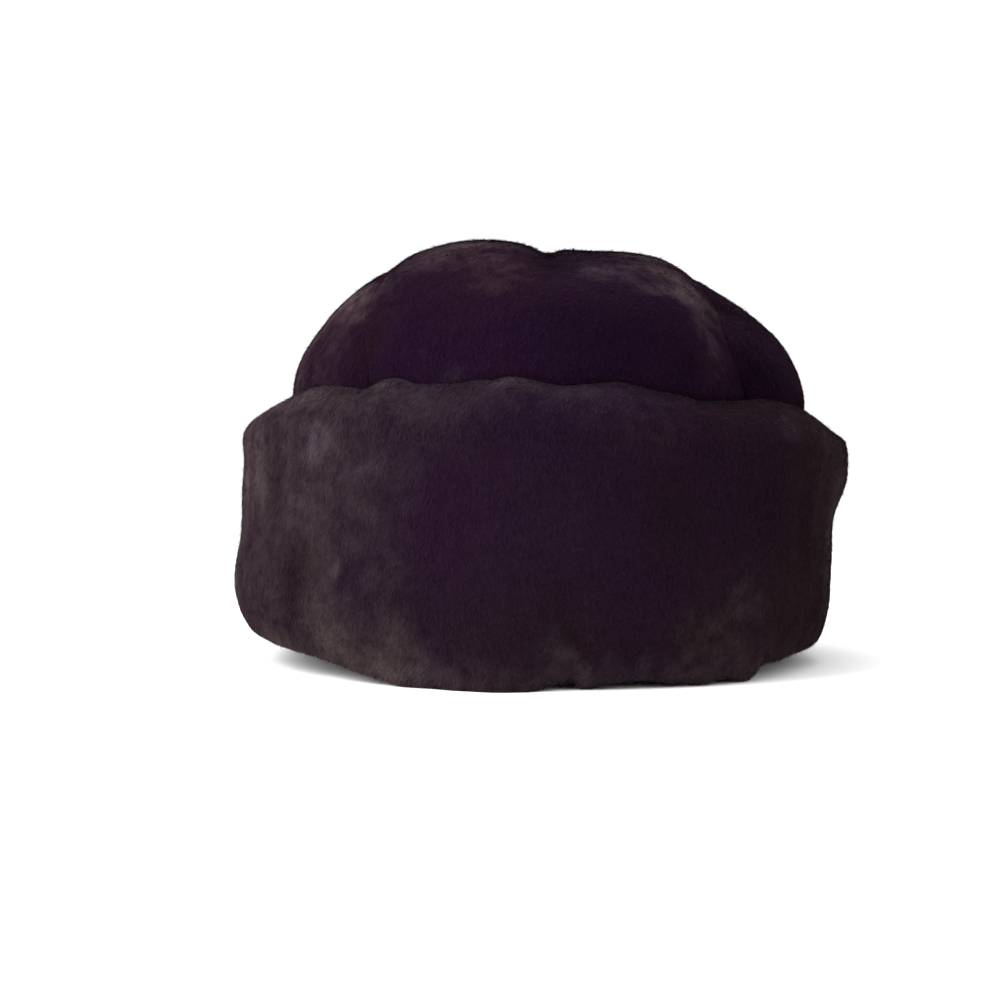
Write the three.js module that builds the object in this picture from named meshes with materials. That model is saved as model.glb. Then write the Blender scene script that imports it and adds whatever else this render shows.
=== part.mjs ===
// Fur hat: a puffed crown of a centre panel and two side panels, inside a deep turned-up band of short fur.
// Millimetres, +Z up, the front towards -Y. The origin lies under the middle of the hat, where it rests.

import * as THREE from "three";
import { mergeVertices } from "three/addons/utils/BufferGeometryUtils.js";

// Crown: an oval upright wall under a dome
const CROWN_HALF_WIDTH = 93.5;
const CROWN_HALF_DEPTH = 107;
const CROWN_CENTRE_X = 2.5;
const RIM_CENTRE_X = -1.5;
const CROWN_WALL = 11;
const CROWN_RIM_Z = 8;
const SHOULDER_Z = 92;
const DOME_FULLNESS = 2.4;

// How high the dome rises above the shoulder, from the left side to the right side
const DOME_RISE = [
  { x: -94, rise: 56 },
  { x: -62, rise: 59.5 },
  { x: -44, rise: 62 },
  { x: -20, rise: 60.5 },
  { x: 6, rise: 58.5 },
  { x: 34, rise: 57 },
  { x: 60, rise: 51.5 },
  { x: 94, rise: 48 },
];

// The two seams run from front to back over the dome, a little closer together at the top
const SEAMS = {
  left: { base: -59.5, top: -54.5, bend: 2 },
  right: { base: 62.5, top: 49, bend: 1 },
};
const SEAM_DEPTH = { base: 5, top: 0.9 };
const SEAM_HALF_WIDTH = 12;
const SEAM_GAP = 0.32;

// A lengthwise crease in the top of the centre panel, its ends fading out over these degrees of pitch
const CREASE = { x: 3, halfWidth: 9, depth: 5.6, fadeStart: 36, fadeEnd: 64 };

// Band: its inner face stands just clear of the crown's wall, its lip rounds over from the crest
const BAND_CLEARANCE = 0.5;
const BAND_LIP_DROP = 17;
const BAND_LIP_SLACK = 1.25;
const BAND_CREST_SHARE = 0.12;
const BAND_FOOT_HEIGHT = 22;

// Around the band: azimuth in degrees from the front towards +X, height of the crest, thickness at the lip,
// at the waist and at the foot, share of the foot that is flat, height of the lower edge, 0 where it bears
const BAND_SECTIONS = [
  { azimuth: -180, crest: 94, lip: 17.5, waist: 17, foot: 18.5, flat: 0.6, edge: 0 },
  { azimuth: -150, crest: 93, lip: 18, waist: 17.5, foot: 18.5, flat: 0.5, edge: 0 },
  { azimuth: -115, crest: 92, lip: 17, waist: 17.5, foot: 18, flat: 0.35, edge: 4 },
  { azimuth: -85, crest: 95, lip: 17.2, waist: 16.5, foot: 18, flat: 0.3, edge: 7.5 },
  { azimuth: -62, crest: 94.5, lip: 16, waist: 16, foot: 17.6, flat: 0.3, edge: 8.5 },
  { azimuth: -44, crest: 94.5, lip: 17, waist: 16.5, foot: 17.6, flat: 0.35, edge: 6.5 },
  { azimuth: -34, crest: 94.5, lip: 17.5, waist: 17, foot: 17.5, flat: 0.45, edge: 2.5 },
  { azimuth: -28, crest: 96.5, lip: 17.5, waist: 17, foot: 17.5, flat: 0.55, edge: 0.8 },
  { azimuth: -20, crest: 94.4, lip: 17.5, waist: 17.5, foot: 18, flat: 0.65, edge: 0 },
  { azimuth: -7, crest: 95.5, lip: 18, waist: 18, foot: 19.5, flat: 0.75, edge: 0 },
  { azimuth: 3, crest: 93.5, lip: 18, waist: 18, foot: 17.5, flat: 0.5, edge: 0 },
  { azimuth: 8, crest: 94, lip: 18, waist: 18, foot: 17, flat: 0.45, edge: 1.8 },
  { azimuth: 14, crest: 94.5, lip: 18, waist: 18, foot: 17, flat: 0.45, edge: 2 },
  { azimuth: 28, crest: 91, lip: 17, waist: 16.5, foot: 17, flat: 0.6, edge: 1.6 },
  { azimuth: 42, crest: 90.5, lip: 17, waist: 15.5, foot: 16, flat: 0.5, edge: 2.8 },
  { azimuth: 60, crest: 90, lip: 16, waist: 13.5, foot: 13, flat: 0.35, edge: 5.6 },
  { azimuth: 70, crest: 87.5, lip: 16.2, waist: 12.3, foot: 12.2, flat: 0.35, edge: 6 },
  { azimuth: 85, crest: 87, lip: 16.8, waist: 11.5, foot: 11.5, flat: 0.35, edge: 6 },
  { azimuth: 115, crest: 89.5, lip: 16.5, waist: 13.5, foot: 15, flat: 0.35, edge: 3.5 },
  { azimuth: 150, crest: 93.5, lip: 17, waist: 17, foot: 17.5, flat: 0.5, edge: 0 },
];

// Dents and folds in the outer face of the band, with their half widths in degrees and in height
const BAND_DENTS = [
  { azimuth: -57, z: 60, halfAngle: 5, halfHeight: 24, depth: 2.6 },
  { azimuth: -46, z: 24, halfAngle: 4, halfHeight: 16, depth: 2.4 },
  { azimuth: -19, z: 16, halfAngle: 3, halfHeight: 12, depth: 1.8 },
  { azimuth: 4, z: 10, halfAngle: 2.5, halfHeight: 16, depth: 2.6 },
  { azimuth: 58, z: 14, halfAngle: 5, halfHeight: 12, depth: 2 },
  { azimuth: 128, z: 50, halfAngle: 9, halfHeight: 26, depth: 2 },
  { azimuth: -140, z: 44, halfAngle: 8, halfHeight: 28, depth: 2.2 },
  { azimuth: 172, z: 20, halfAngle: 5, halfHeight: 18, depth: 1.8 },
];

// Thickness of the band at which a dent starts to show and at which it has its full depth
const DENT_START = 4;
const DENT_FULL = 12;

// Grid sizes
const DOME_STEPS = 28;
const PANEL_ROWS = 8;
const BAND_STEPS = 80;
const BAND_ROUND_STEPS = 5;
const BAND_FACE_STEPS = 5;
const WALL_HEIGHTS = [0, 0.35, 0.7, 0.9];
const CENTRE_COLUMNS = [
  0, 0.035, 0.08, 0.15, 0.25, 0.36, 0.44, 0.49, 0.53, 0.57, 0.62, 0.7, 0.8, 0.88, 0.94, 0.975, 1,
];
const MERGE_DISTANCE = 1e-3;
const LEAST_SHARE = 1e-6;

const FUR_COLOUR = 0x2b1a2a;
const FUR_ROUGHNESS = 0.95;

const { degToRad, radToDeg, clamp, lerp, smoothstep } = THREE.MathUtils;

/** Smooth value between the rows of a table whose rows are in order of their key column. */
function tableValue(rows, key, column, at) {
  const last = rows.length - 1;
  const clamped = clamp(at, rows[0][key], rows[last][key]);
  const above = Math.max(1, rows.findIndex((row) => row[key] >= clamped));
  const low = rows[above - 1];
  const high = rows[above];
  return lerp(low[column], high[column], smoothstep(clamped, low[key], high[key]));
}

/** Smooth value around a table of azimuths, closed on itself. */
function aroundValue(rows, column, azimuth) {
  const first = { ...rows[0], azimuth: rows[0].azimuth + 360 };
  return tableValue([...rows, first], "azimuth", column, azimuth);
}

/** Equal steps from 0 to 1, both ends included. */
function evenShares(steps) {
  return Array.from({ length: steps + 1 }, (_, step) => step / steps);
}

/** Distance of a seam from the hat's middle plane at a pitch over the dome, 0 in front and PI behind. */
function seamX(seam, pitch) {
  return lerp(seam.base, seam.top, Math.sin(pitch) ** seam.bend);
}

/** How deep the fur is pulled in at a distance from a seam and a pitch. */
function seamPull(distance, pitch) {
  const near = Math.max(0, 1 - distance / SEAM_HALF_WIDTH);
  return lerp(SEAM_DEPTH.base, SEAM_DEPTH.top, Math.sin(pitch) ** 2) * near ** 2;
}

/** Depth of the lengthwise crease at a distance from the middle plane and a pitch. */
function creaseDepth(x, pitch) {
  const fromEnd = radToDeg(Math.min(pitch, Math.PI - pitch));
  const fade = smoothstep(fromEnd, CREASE.fadeStart, CREASE.fadeEnd);
  return CREASE.depth * fade * Math.exp(-(((x - CREASE.x) / CREASE.halfWidth) ** 2));
}

/** Height on the upright wall, from the rim at 0 to the shoulder at 1. */
function wallZ(share) {
  return lerp(CROWN_RIM_Z, SHOULDER_Z, share);
}

/** Height of the dome at a share of its radius, for a layer some depth inside the outer surface. */
function domeZ(x, share, depth) {
  const rise = tableValue(DOME_RISE, "x", "rise", x) - depth;
  return SHOULDER_Z + rise * Math.sqrt(Math.max(0, 1 - share ** DOME_FULLNESS));
}

/** Middle of the hat from side to side at a height: the wall leans a little on its way up. */
function middleX(z) {
  return lerp(RIM_CENTRE_X, CROWN_CENTRE_X, Math.min(1, z / SHOULDER_Z));
}

/** Share of the half depth at a share of the half width and a pitch. */
function alongShare(across, pitch) {
  return Math.sqrt(1 - across ** 2) * Math.cos(pitch);
}

/** Point of the crown at shares of its half width and half depth, some depth inside the outer surface. */
function crownPoint(across, along, depth, wallShare) {
  const x = across * (CROWN_HALF_WIDTH - depth);
  const z = wallShare < 1 ? wallZ(wallShare) : domeZ(x, Math.hypot(across, along), depth);
  return new THREE.Vector3(middleX(z) + x, -along * (CROWN_HALF_DEPTH - depth), z);
}

/** Geometry of points and triangles, with shared points merged and triangles of no area left out. */
function solidGeometry(points, triangles) {
  const geometry = new THREE.BufferGeometry();
  const coordinates = points.flatMap((point) => point.toArray());
  geometry.setAttribute("position", new THREE.Float32BufferAttribute(coordinates, 3));
  geometry.setIndex(triangles);
  const merged = mergeVertices(geometry, MERGE_DISTANCE);
  const index = merged.getIndex().array;
  const kept = [];
  for (let start = 0; start < index.length; start += 3) {
    const [a, b, c] = index.slice(start, start + 3);
    if (a !== b && b !== c && c !== a) {
      kept.push(a, b, c);
    }
  }
  merged.setIndex(kept);
  merged.computeVertexNormals();
  return merged;
}

/** Corners of a grid's border in order around it. */
function gridBorder(rows, columns) {
  const across = Array.from({ length: columns - 1 }, (_, column) => column);
  const down = Array.from({ length: rows - 1 }, (_, row) => row);
  const last = rows * columns - 1;
  return [
    ...across,
    ...down.map((row) => row * columns + columns - 1),
    ...across.map((column) => last - column),
    ...down.map((row) => last - (columns - 1) - row * columns),
  ];
}

/** Closed geometry from an outer and an inner grid of points with the same rows and columns. */
function shellGeometry(outer, inner) {
  const rows = outer.length;
  const columns = outer[0].length;
  const innerStart = rows * columns;
  const triangles = [];
  const addQuad = (a, b, c, d) => triangles.push(a, b, c, a, c, d);
  for (let row = 0; row < rows - 1; row += 1) {
    for (let column = 0; column < columns - 1; column += 1) {
      const a = row * columns + column;
      const corners = [a, a + 1, a + columns + 1, a + columns];
      addQuad(...corners);
      addQuad(...corners.map((corner) => corner + innerStart).reverse());
    }
  }
  const border = gridBorder(rows, columns);
  border.forEach((corner, index) => {
    const next = border[(index + 1) % border.length];
    addQuad(next, corner, corner + innerStart, next + innerStart);
  });
  return solidGeometry([...outer.flat(), ...inner.flat()], triangles);
}

/** Steps from the front rim over the dome to the back rim: a pitch, and a share of the wall's height. */
function lengthwiseSteps() {
  const front = WALL_HEIGHTS.map((wallShare) => ({ pitch: 0, wallShare }));
  const over = evenShares(DOME_STEPS).map((share) => ({ pitch: Math.PI * share, wallShare: 1 }));
  const back = [...WALL_HEIGHTS].reverse().map((wallShare) => ({ pitch: Math.PI, wallShare }));
  return [...front, ...over, ...back];
}

/** One row of the centre panel from its left seam to its right seam. */
function centreRow(pitch, wallShare, surface) {
  const left = seamX(SEAMS.left, pitch) + SEAM_GAP / 2;
  const right = seamX(SEAMS.right, pitch) - SEAM_GAP / 2;
  return CENTRE_COLUMNS.map((share) => {
    const x = lerp(left, right, share);
    const pull = seamPull(Math.min(x - left, right - x), pitch);
    const depth = surface === "outer" ? pull + creaseDepth(x, pitch) : CROWN_WALL;
    const across = x / (CROWN_HALF_WIDTH - depth);
    return crownPoint(across, alongShare(across, pitch), depth, wallShare);
  });
}

/** The centre panel, from the front rim over the top to the back rim. */
function centrePanel() {
  const layer = (surface) =>
    lengthwiseSteps().map(({ pitch, wallShare }) => centreRow(pitch, wallShare, surface));
  return shellGeometry(layer("outer"), layer("inner"));
}

/** Depth of the fur of a side panel beside its seam, at shares of the half width and half depth. */
function sideDepth(seam, across, along) {
  const reach = Math.sqrt(Math.max(LEAST_SHARE, 1 - across ** 2));
  const pitch = Math.acos(clamp(along / reach, -1, 1));
  const distance = Math.abs(across * CROWN_HALF_WIDTH) - Math.abs(seamX(seam, pitch));
  return seamPull(Math.max(0, distance), pitch);
}

/** Radius share and bearing of a seam's point, for a layer some depth inside the outer surface. */
function seamPolar(seam, pitch, depth) {
  const side = Math.sign(seam.base);
  const across = (seamX(seam, pitch) + (side * SEAM_GAP) / 2) / (CROWN_HALF_WIDTH - depth);
  const along = alongShare(across, pitch);
  return { share: Math.hypot(across, along), bearing: Math.atan2(across, along) };
}

/** A column of a side panel, from its point on the seam over the dome and down the wall to the rim. */
function sideColumn(seam, pitch, surface) {
  const isOuter = surface === "outer";
  const seamDepth = isOuter ? seamPull(0, pitch) : CROWN_WALL;
  const baseDepth = isOuter ? seamPull(0, 0) : CROWN_WALL;
  const start = seamPolar(seam, pitch, seamDepth);
  const front = seamPolar(seam, 0, baseDepth).bearing;
  const back = Math.sign(seam.base) * Math.PI - front;
  const end = lerp(front, back, pitch / Math.PI);
  const startTurn = Math.acos(Math.min(1, start.share ** (DOME_FULLNESS / 2)));
  const atEnd = Math.sin(pitch) < LEAST_SHARE;
  const place = (share, way, wallShare) => {
    const bearing = lerp(start.bearing, end, way);
    const across = share * Math.sin(bearing);
    const along = share * Math.cos(bearing);
    const free = isOuter ? sideDepth(seam, across, along) : CROWN_WALL;
    return crownPoint(across, along, way === 0 || atEnd ? seamDepth : free, wallShare);
  };
  const dome = evenShares(PANEL_ROWS).map((way) =>
    place(Math.cos(startTurn * (1 - way)) ** (2 / DOME_FULLNESS), way, 1),
  );
  const wall = [...WALL_HEIGHTS].reverse().map((wallShare) => place(1, 1, wallShare));
  return [...dome, ...wall];
}

/** A side panel, with its columns side by side from one end of the seam to the other. */
function sidePanel(seam) {
  const pitches = evenShares(DOME_STEPS).map((share) => Math.PI * share);
  const order = seam.base > 0 ? pitches : [...pitches].reverse();
  const layer = (surface) => order.map((pitch) => sideColumn(seam, pitch, surface));
  return shellGeometry(layer("outer"), layer("inner"));
}

/** How far the outer face of the band is dented at an azimuth, a height and a thickness. */
function bandDent(azimuth, z, thickness) {
  const depth = BAND_DENTS.reduce((sum, dent) => {
    const turn = (azimuth - dent.azimuth) / dent.halfAngle;
    const up = (z - dent.z) / dent.halfHeight;
    return sum + dent.depth * Math.exp(-(turn ** 2) - up ** 2);
  }, 0);
  return depth * smoothstep(thickness, DENT_START, DENT_FULL);
}

/** One section of the band: distances out from its inner face and heights, from the inner edge round. */
function bandSection(azimuth) {
  const value = (column) => aroundValue(BAND_SECTIONS, column, azimuth);
  const [crest, lip, waist, foot, edge] = ["crest", "lip", "waist", "foot", "edge"].map(value);
  const sole = foot * value("flat");
  const footZ = edge + BAND_FOOT_HEIGHT;
  const lipZ = crest - BAND_LIP_DROP;
  const crestOut = lip * BAND_CREST_SHARE;
  const quarter = evenShares(BAND_ROUND_STEPS).map((share) => (Math.PI / 2) * share);
  const footRound = quarter.map((turn) => [
    lerp(sole, foot, Math.sin(turn)),
    footZ - BAND_FOOT_HEIGHT * Math.cos(turn),
  ]);
  const face = evenShares(BAND_FACE_STEPS).slice(1, -1).map((share) => [
    lerp(lerp(foot, lip, smoothstep(share, 0, 1)), waist, Math.sin(Math.PI * share) ** 2),
    lerp(footZ, lipZ, share),
  ]);
  const lipRound = quarter.map((turn) => [
    lerp(crestOut, lip, Math.cos(turn) ** BAND_LIP_SLACK),
    lerp(lipZ, crest, Math.sin(turn) ** BAND_LIP_SLACK),
  ]);
  return [[0, edge], ...footRound, ...face, ...lipRound, [0, crest - crestOut]];
}

/** The turned-up band as a closed ring of sections. */
function bandRing() {
  const rings = evenShares(BAND_STEPS).slice(0, -1).map((share) => {
    const azimuth = -180 + 360 * share;
    const turn = degToRad(azimuth);
    return bandSection(azimuth).map(([thickness, z]) => {
      const out = BAND_CLEARANCE + thickness - bandDent(azimuth, z, thickness);
      const x = middleX(z) + (CROWN_HALF_WIDTH + out) * Math.sin(turn);
      return new THREE.Vector3(x, -(CROWN_HALF_DEPTH + out) * Math.cos(turn), z);
    });
  });
  const count = rings[0].length;
  const triangles = rings.flatMap((points, ring) =>
    points.flatMap((_, corner) => {
      const next = (ring + 1) % BAND_STEPS;
      const after = (corner + 1) % count;
      const a = ring * count + corner;
      const c = next * count + after;
      return [a, next * count + corner, c, a, c, ring * count + after];
    }),
  );
  return solidGeometry(rings.flat(), triangles);
}

/** A named piece of fur. */
function furPiece(name, geometry) {
  const material = new THREE.MeshStandardMaterial({
    color: FUR_COLOUR,
    roughness: FUR_ROUGHNESS,
    metalness: 0,
  });
  const mesh = new THREE.Mesh(geometry, material);
  mesh.name = name;
  return mesh;
}

const crown = new THREE.Group();
crown.add(furPiece("crown_centre_panel", centrePanel()));
crown.add(furPiece("crown_left_panel", sidePanel(SEAMS.left)));
crown.add(furPiece("crown_right_panel", sidePanel(SEAMS.right)));

const hat = new THREE.Group();
hat.add(crown);
hat.add(furPiece("turned_up_band", bandRing()));

export default hat;
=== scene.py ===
"""A dark fur hat with a puffed crown and a deep turned-up band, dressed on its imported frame.

Lengths are in millimetres until a mesh is made, +Z up, the front of the hat towards -Y.
"""

import logging
import math
from dataclasses import dataclass, field
from enum import Enum
from typing import Any

import bpy
import numpy as np
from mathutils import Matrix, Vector

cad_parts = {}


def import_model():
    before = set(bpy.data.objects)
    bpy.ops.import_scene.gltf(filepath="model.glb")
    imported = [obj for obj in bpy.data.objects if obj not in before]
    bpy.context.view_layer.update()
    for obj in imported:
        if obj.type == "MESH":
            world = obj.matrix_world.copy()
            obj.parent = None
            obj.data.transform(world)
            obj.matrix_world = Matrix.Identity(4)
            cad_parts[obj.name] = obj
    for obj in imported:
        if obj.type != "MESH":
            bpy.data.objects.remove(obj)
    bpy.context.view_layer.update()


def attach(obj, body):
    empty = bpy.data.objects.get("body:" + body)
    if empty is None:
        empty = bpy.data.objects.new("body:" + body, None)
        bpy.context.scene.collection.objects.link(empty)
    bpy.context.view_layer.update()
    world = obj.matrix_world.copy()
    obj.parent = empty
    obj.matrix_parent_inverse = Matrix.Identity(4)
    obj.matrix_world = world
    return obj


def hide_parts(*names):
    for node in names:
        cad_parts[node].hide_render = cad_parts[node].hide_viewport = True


log = logging.getLogger("fur_hat")

Grid = np.ndarray
Place = tuple[float, float, float]
Colour = tuple[float, float, float, float]

METRES = 0.001

UP = np.array([0.0, 0.0, 1.0])
LEAST_LENGTH = 1e-9
LEAST_SHARE = 1e-6
WELD_DIGITS = 4

NOISE_VALUES = 4096
NOISE_PRIMES = np.array([73856093, 19349663, 83492791])

# Strips of the baking sheet, from one edge to the other
WHOLE_STRIP = (0.01, 0.99)
OUTER_STRIP = (0.01, 0.60)
INNER_STRIP = (0.64, 0.88)
EDGE_STRIP = (0.92, 0.98)

# Numbers of a piece's finishes
FUR, SKIN = 0, 1

# The surface under the coat is coloured like this place on a lock of this shade
UNDER_ALONG = 0.25
UNDER_SHADE = 0.5


# Curves, fields and meshes


def smooth_step(value: Grid, low: float, high: float) -> Grid:
    """Share from 0 at low to 1 at high, with a level start and end."""
    share = np.clip((value - low) / (high - low), 0.0, 1.0)
    return share * share * (3.0 - 2.0 * share)


def blend(low: Grid, high: Grid, share: Grid) -> Grid:
    """Value between low and high at a share."""
    return low + (high - low) * share


def unit(vectors: Grid) -> Grid:
    """Vectors of length 1, or of length 0 where one has no length."""
    return vectors / np.maximum(np.linalg.norm(vectors, axis=-1, keepdims=True), LEAST_LENGTH)


def dot(first: Grid, second: Grid) -> Grid:
    """Product of vectors, kept as a last axis of length 1."""
    return np.sum(first * second, axis=-1, keepdims=True)


def curve_through(keys: Grid, values: Grid, at: Grid) -> Grid:
    """Smooth curve through the rows of a table.

    Between two rows the value is the cubic that meets both rows' values, and both rows' slopes
    as measured from their neighbours.

    Args:
        keys: The table's key column, in rising order.
        values: The table's value column.
        at: Where to read it.

    Returns:
        The curve's value at each place.
    """
    slopes = np.gradient(values, keys)
    row = np.clip(np.searchsorted(keys, at) - 1, 0, len(keys) - 2)
    step = keys[row + 1] - keys[row]
    part = np.clip((at - keys[row]) / step, 0.0, 1.0)
    square, cube = part**2, part**3
    return (
        (2 * cube - 3 * square + 1) * values[row]
        + (cube - 2 * square + part) * step * slopes[row]
        + (3 * square - 2 * cube) * values[row + 1]
        + (cube - square) * step * slopes[row + 1]
    )


@dataclass(frozen=True)
class Table:
    """Named columns of numbers, a row for each place, the first column being the key.

    Attributes:
        columns: The columns' names.
        rows: The rows, in rising order of the key.
        period: The key's period, or 0 for a table with two ends.
    """

    columns: tuple[str, ...]
    rows: tuple[tuple[float, ...], ...]
    period: float = 0.0

    def read(self, column: str, at: Grid) -> Grid:
        """Reads a column on its smooth curve.

        Args:
            column: The column's name.
            at: The key's values.

        Returns:
            The column's value at each of them.
        """
        data = np.array(self.rows, float)
        keys, values = data[:, 0], data[:, self.columns.index(column)]
        if self.period:
            keys = np.concatenate([keys - self.period, keys, keys + self.period])
            values = np.tile(values, 3)
        return curve_through(keys, values, at)


def soft_noise(points: Grid, size: float, seed: int) -> Grid:
    """Smooth random field in space.

    Each corner of a cubic lattice has a random value from -1 to 1, and a point takes its cell's
    eight corners in shares that change smoothly across the cell.

    Args:
        points: Places, with x, y and z on the last axis.
        size: Edge of a lattice cell.
        seed: Seed of the random values.

    Returns:
        The field's value at each place.
    """
    values = np.random.default_rng(seed).uniform(-1.0, 1.0, NOISE_VALUES)
    scaled = points / size
    cell = np.floor(scaled).astype(np.int64)
    part = smooth_step(scaled - cell, 0.0, 1.0)
    total = np.zeros(points.shape[:-1])
    for corner in np.ndindex(2, 2, 2):
        mixed = np.bitwise_xor.reduce((cell + np.array(corner)) * NOISE_PRIMES, axis=-1)
        share = np.prod(np.where(np.array(corner) == 1, part, 1.0 - part), axis=-1)
        total += values[mixed % NOISE_VALUES] * share
    return total


@dataclass(frozen=True)
class Lumps:
    """Soft lumps of padded fur: the sum of smooth random fields.

    Attributes:
        sizes: Size of the lumps of each field.
        heights: Their greatest height.
        seed: Seed of the first field. The others' follow it.
    """

    sizes: tuple[float, ...]
    heights: tuple[float, ...]
    seed: int

    def read(self, points: Grid) -> Grid:
        """Height of the lumps at each place."""
        rows = enumerate(zip(self.sizes, self.heights))
        return sum(height * soft_noise(points, size, self.seed + row) for row, (size, height) in rows)


def grid_normals(points: Grid) -> Grid:
    """Normals of a grid of points: the cross product of its two directions.

    Args:
        points: Grid of places, rows by columns.

    Returns:
        Grid of unit vectors, away from the middle of the grid.
    """
    normals = unit(np.cross(np.gradient(points, axis=0), np.gradient(points, axis=1)))
    outward = dot(normals, points - points.reshape(-1, 3).mean(0)).sum()
    return normals if outward > 0 else -normals


@dataclass
class Facets:
    """Triangles of a mesh that is being made.

    Attributes:
        points: Places in millimetres.
        corners: Three point numbers for each triangle.
        uv: Place of each corner on the baking sheet.
        finish: Number of the finish of each triangle.
        fields: Named values for each point.
    """

    points: Grid
    corners: Grid
    uv: Grid
    finish: Grid
    fields: dict[str, Grid] = field(default_factory=dict)

    def welded(self) -> "Facets":
        """Merges points that share a place and drops the triangles that this leaves without area.

        The rest faces outwards: the sum of a . (b x c) over the triangles' corners is the body's
        volume times six, and where it is below 0 each triangle is turned over.

        Returns:
            The closed mesh.
        """
        _, first, number = np.unique(
            np.round(self.points, WELD_DIGITS), axis=0, return_index=True, return_inverse=True
        )
        corners = number.reshape(-1)[self.corners]
        a, b, c = corners.T
        kept = (a != b) & (b != c) & (c != a)
        points = self.points[first]
        a, b, c = (points[corners[kept][:, k]] for k in range(3))
        order = -1 if np.sum(a * np.cross(b, c)) < 0 else 1
        return Facets(
            points,
            corners[kept][:, ::order],
            self.uv[kept][:, ::order],
            self.finish[kept],
            {name: values[first] for name, values in self.fields.items()},
        )

    def to_object(self, name: str, materials: list[bpy.types.Material]) -> bpy.types.Object:
        """Makes the Blender object.

        Args:
            name: The piece's name.
            materials: Its finishes, in the order of their numbers.

        Returns:
            The object, at the origin.
        """
        mesh = bpy.data.meshes.new(name)
        mesh.from_pydata((self.points * METRES).tolist(), [], self.corners.tolist())
        layer = mesh.uv_layers.new(name="OFBake")
        layer.data.foreach_set("uv", self.uv.astype(np.float32).ravel())
        for key, values in self.fields.items():
            attribute = mesh.attributes.new(key, "FLOAT", "POINT")
            attribute.data.foreach_set("value", values.astype(np.float32))
        for material in materials:
            mesh.materials.append(material)
        mesh.polygons.foreach_set("material_index", self.finish.astype(np.int32))
        mesh.polygons.foreach_set("use_smooth", np.ones(len(self.corners), bool))
        mesh.update()
        made = bpy.data.objects.new(name, mesh)
        bpy.context.scene.collection.objects.link(made)
        return made


def split_quads(quads: Grid) -> Grid:
    """Two triangles for each four-sided face."""
    return np.concatenate([quads[:, [0, 1, 2]], quads[:, [0, 2, 3]]])


def grid_quads(rows: int, columns: int) -> Grid:
    """Four-sided faces of a grid of points, as point numbers."""
    first = (np.arange(rows - 1)[:, None] * columns + np.arange(columns - 1)).ravel()
    return np.stack([first, first + 1, first + columns + 1, first + columns], axis=1)


def grid_uv(rows: int, columns: int, strip: tuple[float, float]) -> Grid:
    """Places of a grid's points on a strip of the baking sheet."""
    u, v = np.linspace(*WHOLE_STRIP, columns), np.linspace(*strip, rows)
    return np.stack(np.meshgrid(u, v), axis=-1).reshape(-1, 2)


def shell_facets(outer: Grid, inner: Grid) -> Facets:
    """Closed shell between an outer and an inner grid of points, joined along their borders.

    Args:
        outer: Outer face, rows by columns.
        inner: Inner face, with the same rows and columns.

    Returns:
        The shell, with the fur's number on the outer face and edges and the skin's on the inner.
    """
    rows, columns = outer.shape[:2]
    count = rows * columns
    face = grid_quads(rows, columns)
    grid = np.arange(count).reshape(rows, columns)
    around = np.concatenate([grid[0, :-1], grid[:-1, -1], grid[-1, :0:-1], grid[:0:-1, 0]])
    after = np.roll(around, -1)
    edge = np.stack([after, around, around + count, after + count], axis=1)
    edge_sheet = grid_quads(2, len(around) + 1)[:, [1, 0, 3, 2]]
    corners = [split_quads(face), split_quads(face[:, ::-1] + count), split_quads(edge)]
    sheets = [
        grid_uv(rows, columns, OUTER_STRIP)[corners[0]],
        grid_uv(rows, columns, INNER_STRIP)[corners[1] - count],
        grid_uv(2, len(around) + 1, EDGE_STRIP)[split_quads(edge_sheet)],
    ]
    finish = [np.full(len(part), number) for number, part in zip((FUR, SKIN, FUR), corners)]
    points = np.concatenate([outer.reshape(-1, 3), inner.reshape(-1, 3)])
    return Facets(points, np.concatenate(corners), np.concatenate(sheets), np.concatenate(finish))


def ring_facets(points: Grid) -> Facets:
    """Closed ring of closed sections.

    Args:
        points: Grid of places, a row for each section.

    Returns:
        The ring.
    """
    rows, columns = points.shape[:2]
    quads = grid_quads(rows + 1, columns + 1)
    sheet = grid_uv(rows + 1, columns + 1, WHOLE_STRIP)
    row, column = np.divmod(quads, columns + 1)
    corners = split_quads((row % rows) * columns + column % columns)
    return Facets(points.reshape(-1, 3), corners, sheet[split_quads(quads)], np.zeros(len(corners), int))


# Marks in the nap, with painted light and shade


@dataclass(frozen=True)
class NapAndPaintedLightMark:
    """A place where the fur is painted lighter or darker: crushed and brushed nap, painted light, painted
    shade.

    Attributes:
        x: Place of its middle.
        y: Place of its middle.
        z: Place of its middle.
        tilt: Turn of its long axis in degrees, 0 level around the hat and 90 upright.
        length: Half length along that axis.
        width: Half width across it.
        light: How much lighter the fur is painted there, below 0 for darker. It stands for crushed nap
            and for painted light and shade.
        warm: How much browner it looks there, below 0 for more purple.
    """

    x: float
    y: float
    z: float
    tilt: float
    length: float
    width: float
    light: float
    warm: float

    def read(self, points: Grid) -> Grid:
        """Strength of the mark: a bell curve along and across its long axis.

        Args:
            points: Places on the surface.

        Returns:
            Share from 0 to 1 at each place.
        """
        level = unit(np.array([-self.y, self.x, 0.0]))
        turn = math.radians(self.tilt)
        away = points - np.array([self.x, self.y, self.z])
        along = away @ (math.cos(turn) * level + math.sin(turn) * UP)
        across = np.sum(away**2, axis=-1) - along**2
        return np.exp(-((along / self.length) ** 2) - across / self.width**2)


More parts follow.
